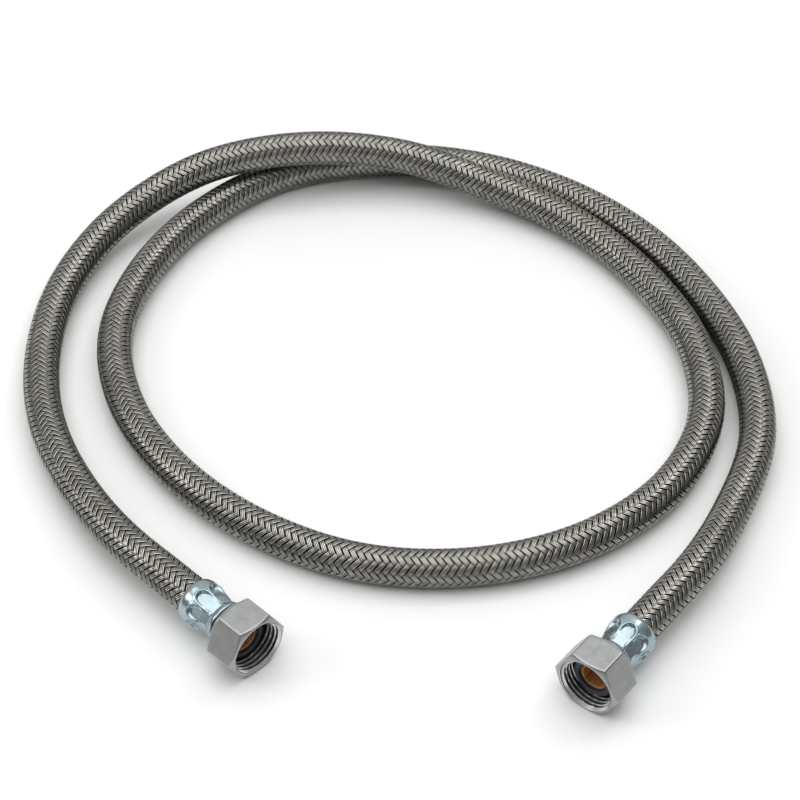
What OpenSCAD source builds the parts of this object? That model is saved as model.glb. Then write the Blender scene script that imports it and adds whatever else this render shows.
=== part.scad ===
// Braided supply line with a swivelling hex nut at each end, lying in a flat coil of nearly two turns.
// +Z is up and z = 0 is the surface it lies on. The origin is at the middle of its footprint.
// Along a fitting, "depth" is measured from the mouth of its nut towards the hose.

/* [Hose] */
// Outside diameter over the braid
hose_od = 14.3; // [13.6:0.1:14.5]
// Bore of the inner tube
hose_bore = 9.5; // [9.0:0.1:9.8]
// Thickness of the braided jacket
jacket_wall = 0.85; // [0.7:0.05:0.95]

/* [Swivel nuts] */
// Width of a nut across its flats
nut_af = 23; // [22.6:0.1:24]
// Length of the six-sided part of a nut
nut_length = 13.4; // [13:0.1:13.8]
// Bore of the nut between thread crests
thread_bore = 18.9; // [18.6:0.1:19.1]
// Depth at which the threaded wall ends and the relief starts
thread_end = 4.3; // [3.8:0.1:4.4]
// How far a nut can slide towards its mouth
nut_travel = 1.5; // [1:0.1:1.6]

/* [Fittings] */
// Bore of the brass stem at its mouth
stem_bore = 9.3; // [9:0.1:9.4]
// Diameter of the rubber washer's rim
washer_rim = 19.2; // [19:0.1:19.4]
// Largest diameter of the crimped sleeve
ferrule_od = 17.6; // [17.2:0.1:18]
// Depth at which the sleeve lets the hose out
ferrule_end = 32; // [31.5:0.5:33]
// Number of crimp dents round a sleeve
dent_count = 8; // [6:1:9]

/* [Hidden] */
// Where the mouth of each nut is and which way it faces, seen from above. "Pulled" is how far the
// nut has been drawn towards its mouth, away from the sleeve.
inlet_mouth = [-47, -134];
inlet_heading = -45;
inlet_pulled = nut_travel;
outlet_mouth = [65, -151];
outlet_heading = 232;
outlet_pulled = 0;

// Middle of the hose between its straight ends: x, y and how far it is lifted off the surface.
// It is lifted where it comes down from the nuts and where it passes over itself.
route = [
    [-117, -55, 2.5], [-134, -16, 1], [-140, 26, 0], [-135, 67, 1],
    [-116, 104, 5], [-81, 129, 13], [-40, 139, 15.5], [2, 140, 11],
    [42, 127, 4], [78, 103, 1], [103, 70, 0], [119, 30, 0],
    [120, -13, 0], [102, -51, 0], [70, -78, 0], [30, -91, 0],
    [-12, -89, 0], [-51, -71, 0], [-82, -43, 0], [-104, -6, 0],
    [-112, 36, 0], [-103, 77, 0], [-81, 114, 0], [-49, 141, 0],
    [-8, 151, 0], [35, 146, 0], [73, 127, 0], [104, 97, 0],
    [125, 61, 0], [138, 20, 0], [139, -23, 0], [125, -63, 0.5]
];
// Depths of the route points on the straight run that leaves each nut.
straight_run = [20, 35, 50, 66];
ring_step = 22;
tube_sides = 12;

round_fn = 96;
pocket_fn = 48;

hose_r = hose_od / 2;
axis_z = nut_af / 2;
tube_r = hose_r - jacket_wall;
tube_bore_r = hose_bore / 2;
jacket_gap = 0.05;

// Nut
thread_r = thread_bore / 2;
mouth_r = thread_r + 1.2;
mouth_bevel = 1.0;
nut_face_r = mouth_r + 0.5;
nut_corner_r = nut_af / sqrt(3);
chamfer_slope = tan(30);
relief_r = thread_r + 0.5;
collar_r = nut_af / 2 - 1.1;
collar_length = 1.2;
swivel_gap = 0.3;

// Stem
lip_depth = 5.5;
flange_depth = 7.5;
flange_end = 9.1;
flange_r = 8.8;
stem_nose_r = 5;
stem_neck_r = 6.2;
groove_r = 5.8;
shoulder_r = 6.35;
stem_bore_r = stem_bore / 2;
stem_throat_r = 4.0;
throat_start = 12;
throat_end = 15;
barb_root_r = 4.8;
barb_tip_r = 5.25;
barb_pitch = 2.6;
barb_rise = 0.4;
barb_count = 4;
lip_radius = 0.12;

// Washer
washer_face = 4.5;
washer_back = 7.4;
washer_hole_r = stem_nose_r + 0.07;
washer_step_r = 5.75;
washer_step = 5.6;
washer_face_r = 7.5;
washer_cone_end = 6.6;
washer_rim_edge = 6.8;

// Ferrule
ferrule_start = nut_length + collar_length + swivel_gap;
ferrule_wall = 0.8;
ferrule_r = ferrule_od / 2;
ferrule_neck_r = 7.25;
ferrule_flare_r = 8.2;
neck_depth = ferrule_start + 2.7;
bulge_start = 28;
bulge_end = 29.3;
grip_r = hose_r - 0.1;
dent_width = 5.4;
outlet_dent_turn = 180 / dent_count;
dent_start = neck_depth;
dent_end = 27;
dent_floor_r = grip_r + 0.4;

// ---- Placing ----

function ahead(heading) = [cos(heading), sin(heading), 0];

// A point on a fitting's axis at a depth behind its mouth.
function on_axis(mouth, heading, depth) = [mouth.x, mouth.y, axis_z] - depth * ahead(heading);

// Stands a piece drawn along +Z, the nut's mouth at the origin, in its place with its axis level.
module at_end(mouth, heading, pulled = 0) {
    translate([mouth.x, mouth.y, axis_z])
        rotate([0, 90, heading + 180])
            translate([0, 0, pulled])
                rotate([0, 0, 30])
                    children();
}

// ---- Hose route ----

// The route points in space, from the hose's inlet end to its outlet end.
knots = concat(
    [for (depth = straight_run) on_axis(inlet_mouth, inlet_heading, depth + inlet_pulled)],
    [for (p = route) [p.x, p.y, hose_r + p.z]],
    [for (i = [len(straight_run) - 1 : -1 : 0])
        on_axis(outlet_mouth, outlet_heading, straight_run[i] + outlet_pulled)]
);
last_knot = len(knots) - 1;

function unit(v) = v / norm(v);

// Direction of the hose at a knot, weighted to the nearer neighbour.
function lean(i) =
    i == 0 ? unit(knots[1] - knots[0]) :
    i == last_knot ? unit(knots[i] - knots[i - 1]) :
    let (before = knots[i] - knots[i - 1], after = knots[i + 1] - knots[i])
    (before / norm(before) * norm(after) + after / norm(after) * norm(before))
        / (norm(before) + norm(after));

// A point on the smooth curve between knot i and the next, t from 0 to 1, never under the surface.
function on_curve(i, t) =
    let (
        span = norm(knots[i + 1] - knots[i]),
        p = (2 * pow(t, 3) - 3 * t * t + 1) * knots[i]
            + (pow(t, 3) - 2 * t * t + t) * span * lean(i)
            + (3 * t * t - 2 * pow(t, 3)) * knots[i + 1]
            + (pow(t, 3) - t * t) * span * lean(i + 1)
    )
    [p.x, p.y, max(p.z, hose_r)];

centres = concat(
    [for (i = [0 : last_knot - 1])
        let (steps = max(1, round(norm(knots[i + 1] - knots[i]) / ring_step)))
        for (k = [0 : steps - 1]) on_curve(i, k / steps)],
    [knots[last_knot]]
);
last_ring = len(centres) - 1;

function heading_at(k) =
    k == 0 ? unit(centres[1] - centres[0]) :
    k == last_ring ? unit(centres[k] - centres[k - 1]) :
    unit(unit(centres[k + 1] - centres[k]) + unit(centres[k] - centres[k - 1]));

// One ring of corners of a given radius, square to the hose.
function ring(k, radius) =
    let (along = heading_at(k), side = unit(cross([0, 0, 1], along)), up = cross(along, side))
    [for (s = [0 : tube_sides - 1])
        let (turn = 360 * s / tube_sides)
        centres[k] + radius * (cos(turn) * side + sin(turn) * up)];

// A hollow pipe along the whole route: outer rings first, then inner rings.
module pipe(outer_r, inner_r) {
    rings = last_ring + 1;
    inner_base = rings * tube_sides;
    points = concat(
        [for (k = [0 : last_ring]) each ring(k, outer_r)],
        [for (k = [0 : last_ring]) each ring(k, inner_r)]
    );
    walls = [for (k = [0 : last_ring - 1], s = [0 : tube_sides - 1])
        let (next = (s + 1) % tube_sides, a = k * tube_sides, b = a + tube_sides)
        each [
            [a + s, b + s, b + next], [a + s, b + next, a + next],
            [inner_base + a + s, inner_base + b + next, inner_base + b + s],
            [inner_base + a + s, inner_base + a + next, inner_base + b + next]
        ]];
    ends = [for (s = [0 : tube_sides - 1])
        let (next = (s + 1) % tube_sides, z = last_ring * tube_sides)
        each [
            [s, next, inner_base + next], [s, inner_base + next, inner_base + s],
            [z + s, inner_base + z + next, z + next], [z + s, inner_base + z + s, inner_base + z + next]
        ]];
    polyhedron(points = points, faces = concat(walls, ends), convexity = 10);
}

// ---- Fitting pieces, drawn along +Z with the nut's mouth at the origin ----

// Six flats, coned at both ends, with a round collar behind.
module nut_outside() {
    corner_rise = nut_corner_r - nut_face_r;
    intersection() {
        cylinder(r = nut_corner_r, h = nut_length, $fn = 6);
        rotate_extrude($fn = round_fn)
            polygon([
                [0, 0],
                [nut_face_r, 0],
                [nut_face_r + corner_rise + 1, (corner_rise + 1) * chamfer_slope],
                [nut_face_r + corner_rise + 1, nut_length - (corner_rise + 1) * chamfer_slope],
                [nut_face_r, nut_length],
                [0, nut_length]
            ]);
    }
    translate([0, 0, nut_length])
        cylinder(r = collar_r, h = collar_length, $fn = round_fn);
}

module swivel_nut() {
    floor_depth = flange_end + nut_travel + swivel_gap;
    difference() {
        nut_outside();
        rotate_extrude($fn = round_fn)
            polygon([
                [0, -1],
                [mouth_r + 1, -1],
                [mouth_r, 0],
                [thread_r, mouth_bevel],
                [thread_r, thread_end],
                [relief_r, thread_end],
                [relief_r, floor_depth],
                [stem_neck_r + swivel_gap, floor_depth],
                [stem_neck_r + swivel_gap, ferrule_start],
                [0, ferrule_start]
            ]);
    }
}

module cone_washer() {
    rotate_extrude($fn = round_fn)
        polygon([
            [washer_step_r, washer_face],
            [washer_face_r, washer_face],
            [washer_rim / 2 - 0.5, washer_cone_end],
            [washer_rim / 2, washer_rim_edge],
            [washer_rim / 2, washer_back],
            [washer_hole_r, washer_back],
            [washer_hole_r, washer_step],
            [washer_step_r, washer_step]
        ]);
}

// Flanged brass tube: nose for the washer, neck for the nut, groove for the sleeve, barbs for the tube.
module barbed_stem() {
    shoulder_start = ferrule_start + ferrule_wall;
    barb_start = straight_run[0];
    barbs = [for (b = [0 : barb_count - 1])
        each [[barb_tip_r, barb_start + b * barb_pitch + barb_rise],
              [barb_root_r, barb_start + (b + 1) * barb_pitch]]];
    stem_end = barb_start + barb_count * barb_pitch + lip_radius;
    rotate_extrude($fn = round_fn)
        polygon(concat(
            [
                [stem_bore_r + lip_radius, lip_depth],
                [stem_nose_r - lip_radius, lip_depth],
                [stem_nose_r, lip_depth + lip_radius],
                [stem_nose_r, flange_depth],
                [flange_r, flange_depth],
                [flange_r, flange_end],
                [stem_neck_r, flange_end],
                [stem_neck_r, ferrule_start],
                [groove_r, ferrule_start],
                [groove_r, shoulder_start],
                [shoulder_r, shoulder_start],
                [shoulder_r, barb_start],
                [barb_root_r, barb_start]
            ],
            barbs,
            [
                [barb_root_r - lip_radius, stem_end],
                [stem_throat_r, stem_end],
                [stem_throat_r, throat_end],
                [stem_bore_r, throat_start],
                [stem_bore_r, lip_depth + lip_radius]
            ]
        ));
}

// The sleeve's outside from the flare behind the nut to the rolled lip on the hose.
function swell(t) = 3 * t * t - 2 * pow(t, 3);
profile_steps = 10;
lip_steps = 6;
rise = [for (k = [0 : profile_steps])
    [ferrule_neck_r + (ferrule_r - ferrule_neck_r) * swell(k / profile_steps),
     neck_depth + (bulge_start - neck_depth) * k / profile_steps]];
lip_drop = ferrule_r - grip_r;
rolled_lip = [for (k = [0 : lip_steps])
    [grip_r + lip_drop * cos(90 * k / lip_steps),
     bulge_end + (ferrule_end - bulge_end) * sin(90 * k / lip_steps)]];

module dent() {
    rotate([0, 90, 0])
        linear_extrude(height = ferrule_r) {
            translate([-dent_end + dent_width / 2, 0])
                circle(d = dent_width, $fn = pocket_fn);
            translate([-dent_end + dent_width / 2, -dent_width / 2])
                square([dent_end - dent_width / 2 - dent_start, dent_width]);
        }
}

module crimp_ferrule() {
    difference() {
        rotate_extrude($fn = round_fn)
            polygon(concat(
                [[groove_r, ferrule_start], [ferrule_flare_r, ferrule_start],
                 [ferrule_flare_r, ferrule_start + 0.6]],
                rise,
                rolled_lip,
                [
                    [grip_r, straight_run[0]],
                    [ferrule_neck_r - ferrule_wall, straight_run[0]],
                    [ferrule_neck_r - ferrule_wall, ferrule_start + ferrule_wall],
                    [groove_r, ferrule_start + ferrule_wall]
                ]
            ));
        for (d = [0 : dent_count - 1])
            rotate([0, 0, 360 * d / dent_count])
                translate([dent_floor_r, 0, 0])
                    dent();
    }
}

// ---- Named pieces ----

module inlet_nut() color("silver") at_end(inlet_mouth, inlet_heading) swivel_nut();
module outlet_nut() color("silver") at_end(outlet_mouth, outlet_heading) swivel_nut();
module inlet_washer() color([0.12, 0.12, 0.13]) at_end(inlet_mouth, inlet_heading, inlet_pulled) cone_washer();
module outlet_washer() color([0.12, 0.12, 0.13]) at_end(outlet_mouth, outlet_heading, outlet_pulled) cone_washer();
module inlet_stem() color([0.75, 0.5, 0.25]) at_end(inlet_mouth, inlet_heading, inlet_pulled) barbed_stem();
module outlet_stem() color([0.75, 0.5, 0.25]) at_end(outlet_mouth, outlet_heading, outlet_pulled) barbed_stem();
module inlet_ferrule() color([0.7, 0.78, 0.8]) at_end(inlet_mouth, inlet_heading, inlet_pulled) crimp_ferrule();
module outlet_ferrule() color([0.7, 0.78, 0.8]) at_end(outlet_mouth, outlet_heading, outlet_pulled)
    rotate([0, 0, outlet_dent_turn]) crimp_ferrule();
module inner_tube() color([0.25, 0.25, 0.25]) pipe(tube_r - jacket_gap, tube_bore_r);
module braid_jacket() color([0.5, 0.48, 0.44]) pipe(hose_r, tube_r);

inlet_nut();
inlet_washer();
inlet_stem();
inlet_ferrule();
outlet_nut();
outlet_washer();
outlet_stem();
outlet_ferrule();
inner_tube();
braid_jacket();
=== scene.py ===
"""Braided supply line lying in a flat coil, on a pale floor.

Lengths are in millimetres until a mesh is made, and metres after. Along a fitting, "depth" runs
towards the hose, from where the nut's mouth is when the nut is pushed back against its sleeve.
"""
import math
import random

import bpy
import numpy as np
from mathutils import Matrix, Vector


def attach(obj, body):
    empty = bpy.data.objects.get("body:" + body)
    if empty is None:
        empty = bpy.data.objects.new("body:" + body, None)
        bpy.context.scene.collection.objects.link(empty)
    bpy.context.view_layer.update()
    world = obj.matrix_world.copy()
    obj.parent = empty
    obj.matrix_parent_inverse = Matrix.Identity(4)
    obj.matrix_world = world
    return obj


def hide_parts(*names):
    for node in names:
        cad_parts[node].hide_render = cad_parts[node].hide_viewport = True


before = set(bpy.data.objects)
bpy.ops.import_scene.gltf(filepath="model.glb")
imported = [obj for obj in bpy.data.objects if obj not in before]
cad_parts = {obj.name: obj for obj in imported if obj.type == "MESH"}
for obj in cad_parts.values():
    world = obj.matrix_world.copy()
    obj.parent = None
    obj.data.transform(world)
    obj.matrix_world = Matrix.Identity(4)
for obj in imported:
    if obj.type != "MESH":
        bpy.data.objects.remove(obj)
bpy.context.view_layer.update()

MM = 0.001
rng = random.Random(7)


# ---- Camera: first; the cord's route was measured against its view ----

def add_camera():
    elevation, distance, target = math.radians(43), 895.5, Vector((2, -3, 7.15))
    back = Vector((0, -math.cos(elevation), math.sin(elevation)))
    data = bpy.data.cameras.new("camera")
    data.sensor_width, data.lens = 36, 103.5
    data.clip_start, data.clip_end = 0.01, 50
    camera = bpy.data.objects.new("camera", data)
    camera.location = (target + back * distance) * MM
    camera.rotation_euler = (math.pi / 2 - elevation, 0, 0)
    bpy.context.scene.collection.objects.link(camera)
    bpy.context.scene.camera = camera


add_camera()


# ---- Sizes ----

HOSE_R = 7.15
# Height of a fitting's axis, and for each end the mouth's x and y and the way it points.
AXIS_Z = 11.5
ENDS = {"inlet": ((-47, -134), -45), "outlet": ((65, -151), 232)}
# How far each nut has been drawn forward, away from its sleeve.
PULLED = {"inlet": 1.5, "outlet": 0}
# Depths of the points that hold the hose straight behind each fitting.
STRAIGHT_RUN = (20, 35, 50, 66)
# Middle of the hose between its straight ends: x, y and how far it is lifted off the floor.
ROUTE = [
    (-117, -55, 2.5), (-134, -16, 1), (-140, 26, 0), (-135, 67, 1),
    (-116, 104, 5), (-81, 129, 13), (-40, 139, 15.5), (2, 140, 11),
    (42, 127, 4), (78, 103, 1), (103, 70, 0), (119, 30, 0),
    (120, -13, 0), (102, -51, 0), (70, -78, 0), (30, -91, 0),
    (-12, -89, 0), (-51, -71, 0), (-82, -43, 0), (-104, -6, 0),
    (-112, 36, 0), (-103, 77, 0), (-81, 114, 0), (-49, 141, 0),
    (-8, 151, 0), (35, 146, 0), (73, 127, 0), (104, 97, 0),
    (125, 61, 0), (138, 20, 0), (139, -23, 0), (125, -63, 0.5),
]

# The weave: a band goes once round the hose in each lead, and three bands make one mesh.
BANDS_EACH_WAY = 12
BAND_LEAD = 33.6
BAND_STEP = BAND_LEAD / 54
BAND_GROUP = 3
BAND_HALF_ANGLE = 11.8
BAND_MID_R = 6.77
BAND_SWING = 0.2
LINER_R = 6.33

# Width across flats, and the length of the six-sided part.
NUT_AF = 23
NUT_LENGTH = 13.4
NUT_FACE_R = 11.15
NUT_CORNER_R = 0.8
NUT_TURN = 30
MOUTH_R = 10.65
MOUTH_CHAMFER = 1.15
COLLAR_R = 10.4
COLLAR_END = 14.6
CREST_R = 9.45
ROOT_R = 10.4
RELIEF_R = 9.95
THREAD_END = 6.2
THREAD_PITCH = 1.814
THREAD_RUNOUT = 0.5
NUT_FLOOR = 10.9
NUT_HOLE_R = 6.5

NOSE_START = 5.5
NOSE_R = 5.0
FLANGE_START = 7.5
FLANGE_END = 9.1
FLANGE_R = 8.8
STEM_NECK_R = 6.2
STEM_END = 30.5
BORE_R = 4.65
THROAT_R = 4.0
THROAT_START = 12
THROAT_END = 15
BARBS = 4
BARB_PITCH = 2.6
BARB_RISE = 0.4
BARB_ROOT_R = 4.8
BARB_TIP_R = 5.25
# The sleeve's inner lip sits in a groove of the stem. The hose begins behind the stem's shoulder.
GROOVE_R = 5.8
LIP_R = 5.85
LIP_END = 15.7
SHOULDER_R = 6.35
POCKET_R = 6.45
HOSE_START = 20

FERRULE_START = 14.9
FERRULE_END = 32
FERRULE_R = 8.8
FOOT_R = 8.2
NECK_R = 7.25
NECK_DEPTH = 17.6
BULGE_START = 28
BULGE_END = 29.3
GRIP_R = 7.05
DENTS = 8
DENT_WIDTH = 5.4
DENT_START = 16.2
DENT_END = 27
DENT_FOOT_R = 6.95
DENT_FLOOR_R = 7.35
DENT_LAND = 0.14
DENT_TURN = {"inlet": 0, "outlet": 22.5}


# ---- Hose route ----

def unit(v):
    return v / np.linalg.norm(v)


def on_axis(end, depth):
    (x, y), heading = ENDS[end]
    a = math.radians(heading)
    return np.array([x - depth * math.cos(a), y - depth * math.sin(a), AXIS_Z])


def route_knots():
    first = [on_axis("inlet", d + PULLED["inlet"]) for d in STRAIGHT_RUN]
    middle = [np.array([x, y, HOSE_R + lift]) for x, y, lift in ROUTE]
    last = [on_axis("outlet", d + PULLED["outlet"]) for d in reversed(STRAIGHT_RUN)]
    return first + middle + last


def smooth_route(step):
    """The curve through the knots, leaning at each towards its nearer neighbour."""
    knots = route_knots()
    leans = [unit(knots[1] - knots[0])]
    for a, b, c in zip(knots, knots[1:], knots[2:]):
        before, after = np.linalg.norm(b - a), np.linalg.norm(c - b)
        leans.append(((b - a) / before * after + (c - b) / after * before) / (before + after))
    leans.append(unit(knots[-1] - knots[-2]))
    points = []
    for p, q, m, n in zip(knots, knots[1:], leans, leans[1:]):
        span = np.linalg.norm(q - p)
        count = max(1, round(span / step))
        for t in np.arange(count) / count:
            points.append(
                (2 * t**3 - 3 * t**2 + 1) * p + (t**3 - 2 * t**2 + t) * span * m
                + (3 * t**2 - 2 * t**3) * q + (t**3 - t**2) * span * n
            )
    points.append(knots[-1])
    points = np.array(points)
    points[:, 2] = np.maximum(points[:, 2], HOSE_R)
    return points


def stations(points, step):
    """Even stations along the route: distance, centre, side and up of each."""
    travelled = np.r_[0, np.cumsum(np.linalg.norm(np.diff(points, axis=0), axis=1))]

    def at(distance):
        return np.stack([np.interp(distance, travelled, points[:, k]) for k in range(3)], axis=1)

    s = np.linspace(0, travelled[-1], int(travelled[-1] / step) + 1)
    # The direction is taken over this much of the route each way, which evens out its bends.
    reach = 2.0
    along = at(s + reach) - at(s - reach)
    along /= np.linalg.norm(along, axis=1)[:, None]
    side = np.cross([0, 0, 1], along)
    side /= np.linalg.norm(side, axis=1)[:, None]
    return s, at(s), side, np.cross(along, side)


# ---- Meshes ----

def add_object(name, points, faces, sharp_angle=None):
    mesh = bpy.data.meshes.new(name)
    mesh.from_pydata((np.asarray(points) * MM).tolist(), [], faces)
    mesh.shade_smooth()
    if sharp_angle:
        mesh.set_sharp_from_angle(angle=math.radians(sharp_angle))
    mesh.update()
    obj = bpy.data.objects.new(name, mesh)
    bpy.context.scene.collection.objects.link(obj)
    return obj


def skin(rows, columns, first=0):
    """Quads between rows of points that each close on themselves."""
    a = np.arange(rows - 1)[:, None] * columns
    c = np.arange(columns)[None, :]
    n = (c + 1) % columns
    quads = np.stack([a + c, a + n, a + columns + n, a + columns + c], axis=-1)
    return (quads.reshape(-1, 4) + first).tolist()


def rod_faces(rows, columns, first=0):
    """A skin with a flat cap at each end."""
    last = first + (rows - 1) * columns
    caps = [list(range(first, first + columns))[::-1], list(range(last, last + columns))]
    return skin(rows, columns, first) + caps


def ring_faces(rows, columns):
    """A skin whose last row is joined to its first."""
    last = (rows - 1) * columns
    join = [[last + c, last + (c + 1) % columns, (c + 1) % columns, c] for c in range(columns)]
    return skin(rows, columns) + join


def round_row(radius, angle, depth):
    """Points round the axis. Radius and depth are one number, or one for each angle."""
    radius, depth = radius + 0 * angle, depth + 0 * angle
    return np.stack([radius * np.cos(angle), radius * np.sin(angle), depth], axis=1)


def paint(obj, name, values):
    layer = obj.data.attributes.new(name, "FLOAT", "POINT")
    layer.data.foreach_set("value", np.asarray(values, dtype=np.float32))


def at_end(end, deeper, turn):
    """The place of a fitting drawn along +Z with its nut's mouth at the origin."""
    (x, y), heading = ENDS[end]
    return (
        Matrix.Translation(Vector((x, y, AXIS_Z)) * MM)
        @ Matrix.Rotation(math.radians(heading + 180), 4, "Z")
        @ Matrix.Rotation(math.radians(90), 4, "Y")
        @ Matrix.Translation((0, 0, deeper * MM))
        @ Matrix.Rotation(math.radians(NUT_TURN + turn), 4, "Z")
    )


# ---- Materials ----

class Nodes:
    """A short hand for building one procedural material."""

    def __init__(self, name):
        self.material = bpy.data.materials.new(name)
        self.material.use_nodes = True
        self.tree = self.material.node_tree
        self.shader = self.tree.nodes["Principled BSDF"]
        self.place = self.add("ShaderNodeTexCoord").outputs["Object"]

    def add(self, kind, **settings):
        node = self.tree.nodes.new(kind)
        for key, value in settings.items():
            setattr(node, key, value)
        return node

    def link(self, source, target):
        self.tree.links.new(source, target)

    def stretched(self, scale):
        node = self.add("ShaderNodeMapping")
        node.inputs["Scale"].default_value = scale
        self.link(self.place, node.inputs["Vector"])
        return node.outputs["Vector"]

    def noise(self, scale, detail, rough, place=None):
        node = self.add("ShaderNodeTexNoise")
        node.inputs["Scale"].default_value = scale
        node.inputs["Detail"].default_value = detail
        node.inputs["Roughness"].default_value = rough
        self.link(place or self.place, node.inputs["Vector"])
        return node.outputs["Fac"]

    def value(self, source, low, high, start=0.3, end=0.7):
        node = self.add("ShaderNodeMapRange")
        node.inputs["From Min"].default_value = start
        node.inputs["From Max"].default_value = end
        node.inputs["To Min"].default_value = low
        node.inputs["To Max"].default_value = high
        self.link(source, node.inputs["Value"])
        return node.outputs["Result"]

    def ramp(self, source, stops):
        node = self.add("ShaderNodeValToRGB")
        elements = node.color_ramp.elements
        while len(elements) < len(stops):
            elements.new(0.5)
        for element, (position, colour) in zip(elements, stops):
            element.position, element.color = position, (*colour, 1)
        self.link(source, node.inputs["Fac"])
        return node.outputs["Color"]

    def mix(self, amount, first, second):
        node = self.add("ShaderNodeMix", data_type="RGBA")
        self.link(amount, node.inputs["Factor"])
        for socket, colour in ((node.inputs[6], first), (node.inputs[7], second)):
            if isinstance(colour, tuple):
                socket.default_value = (*colour, 1)
            else:
                self.link(colour, socket)
        return node.outputs[2]

    def attribute(self, name):
        return self.add("ShaderNodeAttribute", attribute_name=name).outputs["Fac"]

    def bump(self, height, strength, distance, under=None):
        node = self.add("ShaderNodeBump")
        node.inputs["Strength"].default_value = strength
        node.inputs["Distance"].default_value = distance
        self.link(height, node.inputs["Height"])
        if under is not None:
            self.link(under, node.inputs["Normal"])
        return node.outputs["Normal"]

    def finish(self, colour, roughness, metallic, normal=None):
        self.link(colour, self.shader.inputs["Base Color"])
        self.link(roughness, self.shader.inputs["Roughness"])
        self.shader.inputs["Metallic"].default_value = metallic
        if normal is not None:
            self.link(normal, self.shader.inputs["Normal"])
        return self.material


def nickel_material():
    """Satin nickel plate, mottled and brushed along the nut. The thread has painted shade in its
    roots and a painted highlight on its crests and on the mouth's chamfer.
    """
    m = Nodes("satin nickel")
    mottle = m.noise(260, 5, 0.65)
    brushed = m.noise(1, 3, 0.6, m.stretched((1500, 1500, 90)))
    grain = m.noise(2600, 2, 0.5)
    colour = m.ramp(mottle, [(0.3, (0.33, 0.34, 0.335)), (0.7, (0.42, 0.43, 0.42))])
    colour = m.mix(m.value(brushed, 0.0, 0.35), colour, (0.26, 0.27, 0.27))
    # Painted light on the thread: near-black painted shade in the roots, near-white painted
    # highlight on the crests.
    thread = m.attribute("thread")
    thread_shade_and_highlight = m.ramp(thread, [(0.2, (0.07, 0.075, 0.08)), (0.9, (0.85, 0.87, 0.88))])
    colour = m.mix(m.value(thread, 0.0, 1.0, 0.0, 0.1), colour, thread_shade_and_highlight)
    roughness = m.value(mottle, 0.27, 0.37)
    normal = m.bump(brushed, 0.08, 0.00005)
    normal = m.bump(grain, 0.06, 0.00004, normal)
    normal = m.bump(mottle, 0.03, 0.0001, normal)
    return m.finish(colour, roughness, 1.0, normal)


def zinc_material():
    """Bright bluish zinc plate with pressing marks."""
    m = Nodes("bright zinc")
    cloud = m.noise(170, 4, 0.55)
    drawn = m.noise(1, 3, 0.6, m.stretched((900, 900, 60)))
    colour = m.ramp(cloud, [(0.3, (0.33, 0.42, 0.455)), (0.7, (0.45, 0.545, 0.575))])
    colour = m.mix(m.value(drawn, 0.0, 0.3), colour, (0.22, 0.30, 0.335))
    roughness = m.value(cloud, 0.17, 0.29)
    normal = m.bump(cloud, 0.2, 0.0005)
    normal = m.bump(drawn, 0.12, 0.00008, normal)
    return m.finish(colour, roughness, 1.0, normal)


def rubber_material():
    """Moulded black rubber with a little dust."""
    m = Nodes("black rubber")
    dust = m.noise(420, 5, 0.7)
    pores = m.noise(3200, 3, 0.6)
    colour = m.ramp(dust, [(0.35, (0.016, 0.018, 0.021)), (0.75, (0.045, 0.048, 0.054))])
    roughness = m.value(dust, 0.38, 0.55)
    return m.finish(colour, roughness, 0.0, m.bump(pores, 0.15, 0.00005))


def brass_material():
    """Machined brass, warm and streaked along its length."""
    m = Nodes("machined brass")
    streak = m.noise(1, 3, 0.55, m.stretched((520, 520, 30)))
    stain = m.noise(240, 4, 0.6)
    colour = m.ramp(streak, [(0.35, (0.36, 0.16, 0.045)), (0.65, (0.92, 0.55, 0.24))])
    colour = m.mix(m.value(stain, 0.0, 0.4), colour, (0.66, 0.37, 0.15))
    roughness = m.value(stain, 0.3, 0.45)
    return m.finish(colour, roughness, 0.55, m.bump(streak, 0.2, 0.0001))


def liner_material():
    """Dark inner tube seen in the gaps of the weave."""
    m = Nodes("dark liner")
    cloud = m.noise(300, 4, 0.6)
    colour = m.ramp(cloud, [(0.3, (0.012, 0.011, 0.010)), (0.7, (0.03, 0.027, 0.024))])
    return m.finish(colour, m.value(cloud, 0.45, 0.65), 0.0, m.bump(cloud, 0.1, 0.0001))


def wire_material():
    """Stainless wires, with painted shade in the gaps between one wire and the next and where a
    band dips under another.
    """
    m = Nodes("stainless wire")
    wire_painted_shade = m.attribute("wire_painted_shade")
    tone = m.attribute("tone")
    cloud = m.noise(90, 4, 0.6)
    scratch = m.noise(1500, 3, 0.6)
    metal = m.ramp(cloud, [(0.3, (0.74, 0.72, 0.65)), (0.7, (0.96, 0.935, 0.85))])
    metal = m.mix(m.value(tone, 0.0, 0.5, 0.0, 1.0), metal, (0.42, 0.41, 0.365))
    # Painted shade: near black between wires and on a band where it dips under the crossing band.
    colour = m.mix(m.value(wire_painted_shade, 0.0, 1.0, 0.3, 0.95), (0.03, 0.029, 0.025), metal)
    roughness = m.value(scratch, 0.25, 0.37)
    return m.finish(colour, roughness, 1.0, m.bump(scratch, 0.1, 0.00004))


def floor_material():
    m = Nodes("pale floor")
    cloud = m.noise(3, 3, 0.5)
    colour = m.ramp(cloud, [(0.3, (0.95, 0.95, 0.95)), (0.7, (0.97, 0.97, 0.97))])
    return m.finish(colour, m.value(cloud, 0.6, 0.65), 0.0)


# ---- Hose ----

def add_liner():
    """The tube under the weave, along the whole route, with its middle line and length."""
    s, centre, side, up = stations(smooth_route(step=6), step=3.2)
    sides = 32
    turn = np.arange(sides) * 2 * math.pi / sides
    rings = (
        centre[:, None]
        + LINER_R * (np.cos(turn)[None, :, None] * side[:, None]
                     + np.sin(turn)[None, :, None] * up[:, None])
    )
    liner = add_object("inner_tube_liner", rings.reshape(-1, 3), rod_faces(len(s), sides))
    liner.data.materials.append(liner_material())
    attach(liner, "hose")
    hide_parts("inner_tube")
    return liner, centre, float(s[-1])


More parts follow.
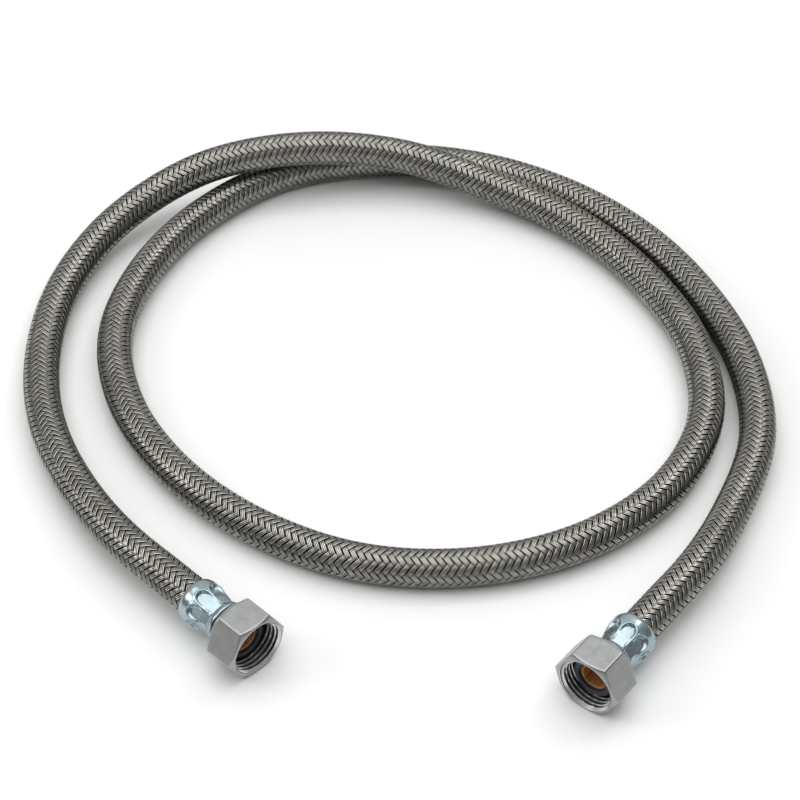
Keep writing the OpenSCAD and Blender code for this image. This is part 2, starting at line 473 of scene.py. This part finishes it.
def band_rings(way, index, s, centre, side, up):
    """One flat band of three wires, over two crossing bands and under the next two.

    Returns its rings of points and a painted shade for each point: dark in the gaps between wires,
    and darker where the band dips under the others.
    """
    # Across the band from edge to edge, then back along its underside.
    across = np.array([-1, -0.67, -0.33, 0, 0.33, 0.67, 1, 0.8, -0.8])
    height = np.array([-0.08, 0.175, -0.04, 0.185, -0.04, 0.175, -0.08, -0.175, -0.175])
    # Painted shade across the band: 1 on each wire, 0 in the gaps between wires and at the edges.
    wire_painted_shade = np.array([0, 1, 0, 1, 0, 1, 0, 0, 0])
    pitch = 360 / BANDS_EACH_WAY
    turn = 360 * s / BAND_LEAD
    stray = sum(
        rng.uniform(0.2, 0.5) * np.sin(s / rng.uniform(9, 60) + rng.uniform(0, 6.3))
        for _ in range(3)
    )
    middle = pitch * index + way * turn + stray
    width = BAND_HALF_ANGLE * (1 + 0.04 * np.sin(s / rng.uniform(15, 40) + rng.uniform(0, 6.3)))
    angle = middle[:, None] + across[None, :] * width[:, None]
    meeting = (angle + way * turn[:, None]) / pitch + index
    # 1 where the band lies over the crossing one, -1 where it lies under.
    level = way * np.clip(1.75 * np.cos(math.pi / 2 * (meeting - 0.5)), -1, 1)
    radius = BAND_MID_R + BAND_SWING * level + height[None, :]
    a = np.radians(angle)
    rings = centre[:, None] + radius[..., None] * (
        np.cos(a)[..., None] * side[:, None] + np.sin(a)[..., None] * up[:, None]
    )
    # Painted shade: the band is darkened where it dips under the crossing band.
    wire_painted_shade = wire_painted_shade[None, :] * np.clip(0.7 + 0.4 * level, 0, 1)
    return rings, wire_painted_shade.reshape(-1)


def add_weave():
    """The woven jacket, as groups of bands that run the whole hose."""
    s, centre, side, up = stations(smooth_route(step=2), BAND_STEP)
    wire = wire_material()
    pieces = []
    for way, name in ((1, "right"), (-1, "left")):
        for group in range(0, BANDS_EACH_WAY, BAND_GROUP):
            points, faces, wire_painted_shades, tones = [], [], [], []
            for index in range(group, group + BAND_GROUP):
                rings, wire_painted_shade = band_rings(way, index, s, centre, side, up)
                faces += rod_faces(len(s), rings.shape[1], sum(len(p) for p in points))
                points.append(rings.reshape(-1, 3))
                wire_painted_shades.append(wire_painted_shade)
                tones.append(np.full(len(wire_painted_shade), rng.random()))
            piece = add_object(f"braid_{name}_{group // BAND_GROUP + 1}",
                               np.concatenate(points), faces)
            # The wires' painted shade, read by the wire material.
            paint(piece, "wire_painted_shade", np.concatenate(wire_painted_shades))
            paint(piece, "tone", np.concatenate(tones))
            piece.data.materials.append(wire)
            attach(piece, "hose")
            pieces.append(piece)
    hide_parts("braid_jacket")
    return pieces


liner, liner_path, hose_length = add_liner()
weave = add_weave()


# ---- Fittings ----

def place_piece(obj, end, body, node, material):
    """Set a piece on its fitting. All but the nut lie deeper where the nut is drawn forward."""
    deeper = 0 if node == "nut" else PULLED[end]
    turn = DENT_TURN[end] if node == "ferrule" else 0
    obj.matrix_world = at_end(end, deeper, turn)
    obj.data.materials.append(material)
    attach(obj, body)
    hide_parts(f"{end}_{node}")


def hexagon(flat_steps, arc_steps):
    """The nut's outline, its corners rounded, as points round the axis."""
    outline = []
    reach = (NUT_AF / 2 - NUT_CORNER_R) / math.cos(math.radians(30))
    half_flat = reach * math.sin(math.radians(30))
    for k in range(6):
        corner = math.radians(60 * k)
        cx, cy = reach * math.cos(corner), reach * math.sin(corner)
        for j in range(arc_steps + 1):
            a = corner + math.radians(-30 + 60 * j / arc_steps)
            outline.append((cx + NUT_CORNER_R * math.cos(a), cy + NUT_CORNER_R * math.sin(a)))
        normal = corner + math.radians(30)
        for j in range(1, flat_steps):
            along = half_flat * (-1 + 2 * j / flat_steps)
            outline.append((NUT_AF / 2 * math.cos(normal) - along * math.sin(normal),
                            NUT_AF / 2 * math.sin(normal) + along * math.cos(normal)))
    return np.array(outline)


def thread_radius(angle, depth):
    """Radius of the thread's surface: flat crests and roots joined by sloping flanks."""
    phase = (depth / THREAD_PITCH - angle / (2 * math.pi)) % 1
    rise = np.clip(np.abs(phase - 0.5) * 5.2 - 0.8, 0, 1)
    return CREST_R + (ROOT_R - CREST_R) * rise


def add_nut(end, material):
    """The swivel nut, drawn row by row: face, flats, collar, rear hole, floor, relief, thread."""
    outline = hexagon(flat_steps=24, arc_steps=8)
    angle = np.arctan2(outline[:, 1], outline[:, 0])
    out = np.hypot(outline[:, 0], outline[:, 1])
    # How far the 30 degree chamfer has come down where it leaves the outline.
    drop = (out - NUT_FACE_R) * math.tan(math.radians(30))
    # How much the edges at the front, at the back, on the collar and inside are eased.
    edge, back, collar, inner = 0.14, 0.3, 0.5, 0.2

    def ring(radius, depth):
        return round_row(radius, angle, depth)

    chamfer_low = NUT_FACE_R + edge * 0.6
    rows = [
        ring(MOUTH_R + 0.08, 0),
        ring(NUT_FACE_R - edge, 0),
        ring(NUT_FACE_R - edge * 0.3, 0.02),
        ring(np.minimum(chamfer_low, out - 0.06), edge * 0.4),
        ring(out - edge, np.maximum(drop - edge * 0.6, edge * 0.5)),
        ring(out - edge * 0.25, drop + 0.01),
        ring(out, drop + edge * 0.8),
    ]
    rows += [ring(out, drop + (NUT_LENGTH - 2 * drop) * k / 12) for k in range(1, 12)]
    rows += [
        ring(out, NUT_LENGTH - drop - back),
        ring(out - back * 0.2, NUT_LENGTH - drop - back * 0.35),
        ring(out - back * 0.6, NUT_LENGTH - np.maximum(drop - back * 0.2, back * 0.4)),
        ring(np.minimum(chamfer_low, out - back), NUT_LENGTH - edge * 0.4),
        ring(COLLAR_R + 0.05, NUT_LENGTH),
        ring(COLLAR_R, NUT_LENGTH + 0.08),
    ]
    for k in range(6):
        a = math.pi / 2 * k / 5
        rows.append(ring(COLLAR_R - collar * (1 - math.cos(a)),
                         COLLAR_END - collar * (1 - math.sin(a))))
    rows += [
        ring(NUT_HOLE_R + inner, COLLAR_END),
        ring(NUT_HOLE_R, COLLAR_END - inner),
        ring(NUT_HOLE_R, NUT_FLOOR + inner),
        ring(NUT_HOLE_R + inner, NUT_FLOOR),
        ring(RELIEF_R - 0.3, NUT_FLOOR),
        ring(RELIEF_R, NUT_FLOOR - 0.3),
        ring(RELIEF_R, THREAD_END + THREAD_RUNOUT),
    ]
    # The threaded wall, back out to the mouth. Its painted light is 0 off the thread; on it,
    # painted shade in the roots and a painted highlight on the crests and on the mouth's chamfer.
    steps = 68
    # Painted shade in the thread's roots, and a painted highlight on the mouth's chamfer.
    root_painted_shade, mouth_painted_highlight = 0.2, 0.7
    thread = [0 * out] * len(rows)
    for k in range(steps + 1):
        depth = THREAD_END * (1 - k / steps)
        mouth = MOUTH_R - depth * (MOUTH_R - CREST_R) / MOUTH_CHAMFER
        fade = min(1, (THREAD_END - depth) / THREAD_RUNOUT)
        wall = CREST_R + 0.02 + (thread_radius(angle, depth) - CREST_R) * fade
        rows.append(ring(np.maximum(wall, mouth), depth + 0.05))
        crest = (ROOT_R - wall) / (ROOT_R - CREST_R)
        thread.append(root_painted_shade + (1 - root_painted_shade) * np.where(mouth > wall, mouth_painted_highlight, crest))
    rows.append(ring(MOUTH_R + 0.02, 0.02))
    thread.append(0 * out)
    nut = add_object(f"{end}_swivel_nut", np.concatenate(rows),
                     ring_faces(len(rows), len(outline)), sharp_angle=40)
    # The thread's painted light, read by the nickel material.
    paint(nut, "thread", np.concatenate(thread))
    place_piece(nut, end, f"{end}_swivel", "nut", material)


def lathe(name, profile):
    """A closed profile of (radius, depth) points turned about the axis."""
    columns = 128
    turn = np.arange(columns) * 2 * math.pi / columns
    rows = [round_row(radius, turn, depth) for radius, depth in profile]
    return add_object(name, np.concatenate(rows), ring_faces(len(rows), columns), sharp_angle=30)


def softened(profile, radius):
    """A closed profile with each corner cut back into a small curve."""
    out = []
    befores, afters = profile[-1:] + profile[:-1], profile[1:] + profile[:1]
    for before, corner, after in zip(befores, profile, afters):
        b, c, a = (np.array(p, dtype=float) for p in (before, corner, after))
        back = min(radius, np.linalg.norm(b - c) * 0.4)
        on = min(radius, np.linalg.norm(a - c) * 0.4)
        start, end = c + unit(b - c) * back, c + unit(a - c) * on
        for t in (0, 0.25, 0.5, 0.75, 1):
            out.append(tuple((1 - t)**2 * start + 2 * t * (1 - t) * c + t**2 * end))
    return out


def add_washer(end, material):
    face, step, cone_end, rim_edge, back = 4.5, 5.6, 6.6, 6.8, 7.4
    hole_r, step_r, face_r, cone_r, rim_r = 5.07, 5.75, 7.5, 9.1, 9.6
    profile = [
        (step_r, face), (face_r, face), (cone_r, cone_end), (rim_r, rim_edge), (rim_r, back),
        (hole_r, back), (hole_r, step), (step_r, step),
    ]
    washer = lathe(f"{end}_rubber_washer", softened(profile, 0.22))
    place_piece(washer, end, f"{end}_seal", "washer", material)


def add_stem(end, material):
    """The brass stem: nose, flange, neck, groove, shoulder and barbs, then back up the bore."""
    barbs = []
    for k in range(BARBS):
        start = HOSE_START + BARB_PITCH * k
        barbs += [(BARB_TIP_R, start + BARB_RISE), (BARB_ROOT_R, start + BARB_PITCH)]
    profile = [
        (BORE_R, NOSE_START), (NOSE_R, NOSE_START), (NOSE_R, FLANGE_START),
        (FLANGE_R, FLANGE_START), (FLANGE_R, FLANGE_END), (STEM_NECK_R, FLANGE_END),
        (STEM_NECK_R, FERRULE_START), (GROOVE_R, FERRULE_START), (GROOVE_R, LIP_END),
        (SHOULDER_R, LIP_END), (SHOULDER_R, HOSE_START), (BARB_ROOT_R, HOSE_START),
        *barbs, (BARB_ROOT_R - 0.12, STEM_END), (THROAT_R, STEM_END), (THROAT_R, THROAT_END),
        (BORE_R, THROAT_START),
    ]
    stem = lathe(f"{end}_brass_stem", softened(profile, 0.12))
    place_piece(stem, end, "hose", "stem", material)


def swell(t):
    """A smooth step from 0 to 1 as t goes from 0 to 1."""
    t = np.clip(t, 0, 1)
    return 3 * t**2 - 2 * t**3


def add_ferrule(end, material):
    """The crimped sleeve: flared foot, waist, bulge, and a row of U-shaped dents."""
    columns = DENTS * 36
    angle = np.arange(columns) * 2 * math.pi / columns
    pitch = 2 * math.pi / DENTS
    # Angle from the middle of the nearest dent.
    off = (angle + pitch / 2) % pitch - pitch / 2

    def row(radius, depth):
        return round_row(radius, angle, depth)

    def dented_row(radius, depth):
        across = np.abs(np.sin(off) * radius)
        beyond = max(0, depth - (DENT_END - DENT_WIDTH / 2))
        inside = DENT_WIDTH / 2 - np.hypot(across, beyond)
        pressed = swell((inside + 0.1) / 0.6) * swell((depth - DENT_START) / 1.5)
        floor_r = DENT_FOOT_R + (DENT_FLOOR_R - DENT_FOOT_R) * swell((depth - 17) / 5)
        floor = np.minimum(radius, floor_r / np.cos(off))
        # The metal pressed out of a dent stands up as a low land around it.
        land = swell(1 - np.abs(inside + 0.3) / 0.55) * swell((depth - NECK_DEPTH) / 3)
        return row(radius + (floor - radius) * pressed + DENT_LAND * land, depth)

    rows = [
        row(LIP_R, FERRULE_START),
        row(FOOT_R - 0.3, FERRULE_START),
        row(FOOT_R - 0.08, FERRULE_START + 0.08),
        row(FOOT_R, FERRULE_START + 0.3),
    ]
    steps = 64
    first = FERRULE_START + 0.6
    for k in range(steps + 1):
        depth = first + (BULGE_END - FERRULE_START - 0.6) * k / steps
        foot = (FOOT_R - NECK_R) * (1 - swell((depth - FERRULE_START - 0.4) / 3.4))
        rise = (FERRULE_R - NECK_R) * swell((depth - NECK_DEPTH) / (BULGE_START - NECK_DEPTH))
        rows.append(dented_row(NECK_R + np.maximum(foot, rise), depth))
    # Rounded over the hose, then back along the inside.
    end_r = GRIP_R + 0.15
    for k in range(1, 13):
        a = math.pi / 2 * k / 12
        rows.append(row(end_r + (FERRULE_R - end_r) * math.cos(a),
                        BULGE_END + (FERRULE_END - BULGE_END) * math.sin(a)))
    rows += [
        row(GRIP_R + 0.02, FERRULE_END - 0.1),
        row(GRIP_R, HOSE_START),
        row(POCKET_R, HOSE_START),
        row(POCKET_R, LIP_END),
        row(LIP_R, LIP_END),
    ]
    ferrule = add_object(f"{end}_crimp_ferrule", np.concatenate(rows),
                         ring_faces(len(rows), columns), sharp_angle=50)
    place_piece(ferrule, end, "hose", "ferrule", material)


nickel, zinc = nickel_material(), zinc_material()
rubber, brass = rubber_material(), brass_material()
for end in ENDS:
    add_nut(end, nickel)
    add_washer(end, rubber)
    add_stem(end, brass)
    add_ferrule(end, zinc)


# ---- Floor and light ----

def add_floor():
    half = 4000
    floor = add_object(
        "floor",
        np.array([(-half, -half, 0), (half, -half, 0), (half, half, 0), (-half, half, 0)]),
        [[0, 1, 2, 3]],
    )
    floor.data.materials.append(floor_material())


def add_softbox(name, place, size, power):
    """A square or oblong light aimed at the middle of the floor."""
    data = bpy.data.lights.new(name, "AREA")
    data.shape, data.size, data.size_y = "RECTANGLE", *size
    data.energy = power
    light = bpy.data.objects.new(name, data)
    light.location = place
    light.rotation_euler = (-Vector(place)).to_track_quat("-Z", "Y").to_euler()
    bpy.context.scene.collection.objects.link(light)


def add_world():
    """A studio dome: bright high behind the object, greyer all round and in front."""
    world = bpy.data.worlds.new("studio")
    bpy.context.scene.world = world
    world.use_nodes = True
    nodes, links = world.node_tree.nodes, world.node_tree.links
    coordinate = nodes.new("ShaderNodeTexCoord")
    facing = nodes.new("ShaderNodeVectorMath")
    facing.operation = "DOT_PRODUCT"
    facing.inputs[1].default_value = (0, 0.78, 0.62)
    ramp = nodes.new("ShaderNodeValToRGB")
    stops = [(0.0, 0.28), (0.25, 0.3), (0.7, 0.6), (1.0, 1.0)]
    while len(ramp.color_ramp.elements) < len(stops):
        ramp.color_ramp.elements.new(0.5)
    for element, (position, grey) in zip(ramp.color_ramp.elements, stops):
        element.position, element.color = position, (grey, grey, grey, 1)
    links.new(coordinate.outputs["Generated"], facing.inputs[0])
    links.new(facing.outputs["Value"], ramp.inputs["Fac"])
    links.new(ramp.outputs["Color"], nodes["Background"].inputs["Color"])
    nodes["Background"].inputs["Strength"].default_value = 0.85


add_floor()
add_world()
add_softbox("overhead", (0, -0.1, 1.8), (2.4, 2.4), 27)
add_softbox("left", (-1.5, -0.1, 1.1), (0.8, 0.6), 5)
add_softbox("rear", (1.1, 1.0, 1.8), (0.5, 0.5), 3)
bpy.context.scene.view_settings.view_transform = "Standard"
